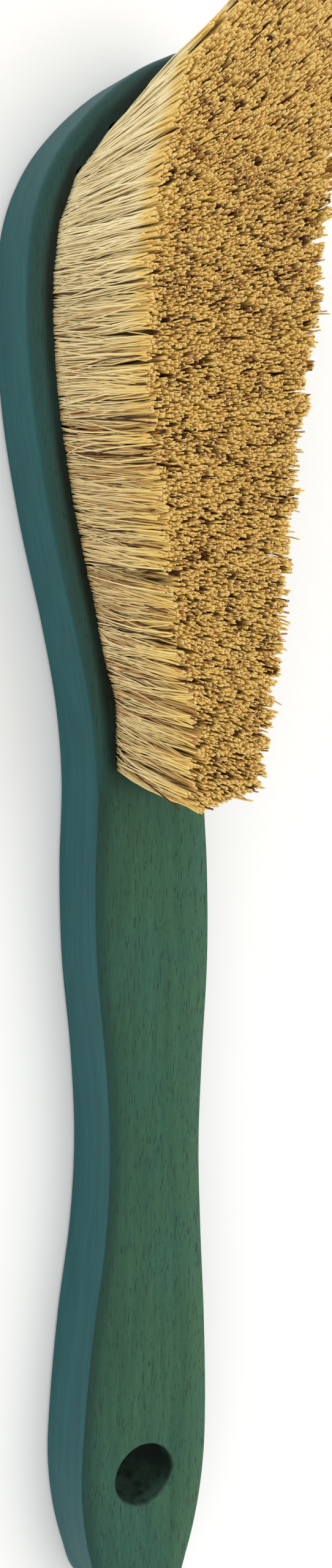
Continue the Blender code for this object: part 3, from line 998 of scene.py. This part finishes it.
def wood_material(hole):
    """Teal stain on beech: blue walls and a greener front, a difference of painted light; painted highlight
    and shade on the front, grain, pores, and a hang hole darkened by painted shade.
    """
    low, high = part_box("handle")
    nodes = Nodes("stained_beech")
    place = nodes.add("ShaderNodeTexCoord").outputs["Object"]
    spot = nodes.add("ShaderNodeSeparateXYZ", {"Vector": place})
    facing = nodes.add("ShaderNodeNewGeometry").outputs["Normal"]
    up = nodes.add("ShaderNodeSeparateXYZ", {"Vector": facing}).outputs["Z"]
    upright = nodes.math("ABSOLUTE", up)
    flat = nodes.step(upright, *FLAT_RANGE)
    along = nodes.math("DIVIDE", nodes.math("SUBTRACT", spot.outputs["X"], low.x), high.x - low.x)
    from_right, from_left = edge_distances(nodes, along, spot.outputs["Y"], low, high)
    # Where the head's painted shade and painted highlight go
    head = nodes.step(along, HEAD_COLOUR_FROM_SHARE, HEAD_COLOUR_FULL_SHARE)
    head = nodes.times(head, nodes.step(up, *UPWARD_RANGE))
    streaks = nodes.grain(place, *STREAKS)
    fibres = nodes.grain(place, *FIBRES)

    front = front_colour(nodes, streaks, from_right, from_left, head)
    # Painted light: the walls are bluer and the front greener, as if lit by cool and by warm light
    walls = nodes.mix(nodes.step(streaks, *WALL_STREAK_RANGE), WALL_DARK, WALL_LIGHT)
    colour = nodes.mix(flat, walls, front)
    # Painted shade: the rounding between the left wall and the front is darker
    edge = nodes.times(nodes.step(upright, *LEAVING_WALL_RANGE), nodes.step(upright, *LEAVING_FLAT_RANGE))
    edge = nodes.times(edge, nodes.step(from_left, DARK_STRIP_END, DARK_STRIP))
    colour = nodes.mix(nodes.times(edge, ROUNDING_SHARE), colour, GRAIN_AND_SHADE_DARK)
    colour, fleck = with_grain(nodes, colour, place, flat, fibres)
    nodes.link(with_bore(nodes, colour, place, spot, hole), "Base Color")

    nodes.shader.inputs["Roughness"].default_value = WOOD_ROUGHNESS
    nodes.shader.inputs["Specular IOR Level"].default_value = WOOD_SPECULAR
    height = nodes.math("SUBTRACT", nodes.times(fibres, FIBRE_HEIGHT_SHARE), fleck)
    settings = {"Height": height, "Distance": WOOD_BUMP, "Strength": WOOD_BUMP_STRENGTH}
    nodes.link(nodes.add("ShaderNodeBump", settings).outputs[0], "Normal")
    return nodes.material


def bristle_material():
    """Boar hair, coloured by the tone, share along the hair, darkness, and the mask of fewer dark hairs and
    painted light, in its points.
    """
    nodes = Nodes("boar_bristle")
    hair = nodes.add("ShaderNodeAttribute", attribute_name=HAIR_ATTRIBUTE)
    parts = nodes.add("ShaderNodeSeparateColor", {"Color": hair.outputs["Color"]})
    tone, along, darkness = parts.outputs[0], parts.outputs[1], parts.outputs[2]
    light = nodes.ramp(along, HAIR_COLOURS)
    colour = nodes.mix(tone, nodes.mix(1.0, light, HAIR_WARMTH, "MULTIPLY"), light)
    # Painted light: the toe's left side, with fewer dark hairs, is painted paler up to its hairs' golden
    # tips
    pale = nodes.times(hair.outputs["Alpha"], nodes.step(along, *PALE_END_RANGE))
    colour = nodes.mix(pale, colour, HAIR_PALE)
    colour = nodes.mix(nodes.step(darkness, *AMBER_RANGE), colour, HAIR_AMBER)
    colour = nodes.mix(nodes.step(darkness, *DARK_RANGE), colour, HAIR_DARK)
    nodes.link(colour, "Base Color")
    nodes.shader.inputs["Roughness"].default_value = HAIR_ROUGHNESS
    nodes.shader.inputs["Specular IOR Level"].default_value = HAIR_SPECULAR
    return nodes.material


def background_rays(tree):
    """1 for a ray that shows the white backdrop: the camera's own, a reflected or a transmitted one."""
    path = tree.nodes.new("ShaderNodeLightPath")
    seen = path.outputs["Is Camera Ray"]
    for kind in ("Is Glossy Ray", "Is Transmission Ray"):
        either = tree.nodes.new("ShaderNodeMath")
        either.operation = "MAXIMUM"
        tree.links.new(seen, either.inputs[0])
        tree.links.new(path.outputs[kind], either.inputs[1])
        seen = either.outputs[0]
    return seen


def floor_material():
    """Pale floor that keeps the shadow near the brush and turns into the white backdrop further off."""
    nodes = Nodes("pale_floor")
    nodes.shader.inputs["Base Color"].default_value = FLOOR_COLOUR
    nodes.shader.inputs["Roughness"].default_value = FLOOR_ROUGHNESS
    nodes.shader.inputs["Specular IOR Level"].default_value = 0.0
    place = nodes.add("ShaderNodeTexCoord").outputs["Object"]
    distance = nodes.add("ShaderNodeVectorMath", {0: place}, operation="LENGTH").outputs["Value"]
    far = nodes.step(distance, FLOOR_FADE_FROM, FLOOR_FADE_TO)
    seen = background_rays(nodes.tree)
    white = nodes.add("ShaderNodeEmission", {"Color": WHITE, "Strength": BACKDROP_STRENGTH})
    mixed = nodes.add("ShaderNodeMixShader", {0: nodes.times(far, seen)})
    nodes.tree.links.new(nodes.shader.outputs[0], mixed.inputs[1])
    nodes.tree.links.new(white.outputs[0], mixed.inputs[2])
    nodes.tree.links.new(mixed.outputs[0], nodes.tree.nodes["Material Output"].inputs[0])
    return nodes.material


def make_floor(low, high):
    """Wide floor just under the brush."""
    shape = bmesh.new()
    middle = (low + high) / 2.0
    half = FLOOR_SIZE / 2.0
    corners = []
    for x, y in ((-half, -half), (half, -half), (half, half), (-half, half)):
        corners.append(shape.verts.new((middle.x + x, middle.y + y, low.z - FLOOR_GAP)))
    shape.faces.new(corners)
    floor = mesh_object("floor", shape)
    floor.data.materials.append(floor_material())


def make_camera(hole, face):
    """Camera placed from the middle of the hang hole's mouth in the front face."""
    data = bpy.data.cameras.new("camera")
    data.lens = CAMERA_LENS
    data.sensor_width = CAMERA_SENSOR
    data.clip_start = CAMERA_NEAREST
    data.clip_end = CAMERA_FURTHEST
    camera = bpy.data.objects.new("camera", data)
    bpy.context.scene.collection.objects.link(camera)
    place = Vector((hole[0], hole[1], face)) + Vector(CAMERA_FROM_HOLE)
    turned = Matrix((CAMERA_RIGHT, CAMERA_UP, CAMERA_BACK)).transposed()
    camera.matrix_world = Matrix.Translation(place) @ turned.to_4x4()
    bpy.context.scene.camera = camera


def area_light(name, place, size, power, colour):
    """Square light that faces the frame's origin."""
    data = bpy.data.lights.new(name, "AREA")
    data.size = size
    data.energy = power
    data.color = colour
    light = bpy.data.objects.new(name, data)
    bpy.context.scene.collection.objects.link(light)
    light.location = place
    light.rotation_mode = "QUATERNION"
    light.rotation_quaternion = Vector(place).to_track_quat("Z", "Y")


def make_lights():
    """A pale sky that lights the brush, the white backdrop and two lamps."""
    world = bpy.data.worlds.new("studio")
    bpy.context.scene.world = world
    world.use_nodes = True
    tree = world.node_tree
    background = tree.nodes["Background"]
    background.inputs[0].default_value = SKY_COLOUR
    background.inputs[1].default_value = SKY_STRENGTH
    white = tree.nodes.new("ShaderNodeBackground")
    white.inputs[0].default_value = WHITE
    white.inputs[1].default_value = BACKDROP_STRENGTH
    chosen = tree.nodes.new("ShaderNodeMixShader")
    tree.links.new(background_rays(tree), chosen.inputs[0])
    tree.links.new(background.outputs[0], chosen.inputs[1])
    tree.links.new(white.outputs[0], chosen.inputs[2])
    tree.links.new(chosen.outputs[0], tree.nodes["World Output"].inputs[0])
    area_light("key", *KEY_LIGHT)
    area_light("fill", *FILL_LIGHT)


def main():
    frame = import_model()
    cad_low, cad_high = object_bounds()
    random = np.random.default_rng(SEED)
    opening = np.array(frame["record"]["physics"]["openings"][0]["box_m"])
    hole = opening.mean(axis=0)
    names = sorted(name for name in frame["nodes"] if name.startswith("tuft_"))
    tufts = [tuft_ends(frame["nodes"][name]) for name in names]
    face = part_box("handle")[1].z

    board = make_board(hole, tufts)
    board.data.materials.clear()
    board.data.materials.append(wood_material(hole))
    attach(board, "root")
    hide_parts("handle")

    material = bristle_material()
    rows = tuft_rows(tufts)
    field = Field(tufts, rows, random)
    for number, row in enumerate(rows):
        name = "bristle_row_{:02d}".format(number + 1)
        bristle = make_bristle(name, field, number, face, material, random)
        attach(bristle, "root")
        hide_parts(*[names[index] for index in row])

    make_floor(cad_low, cad_high)
    make_camera(hole, face)
    make_lights()
    bpy.context.scene.view_settings.view_transform = "Standard"


main()
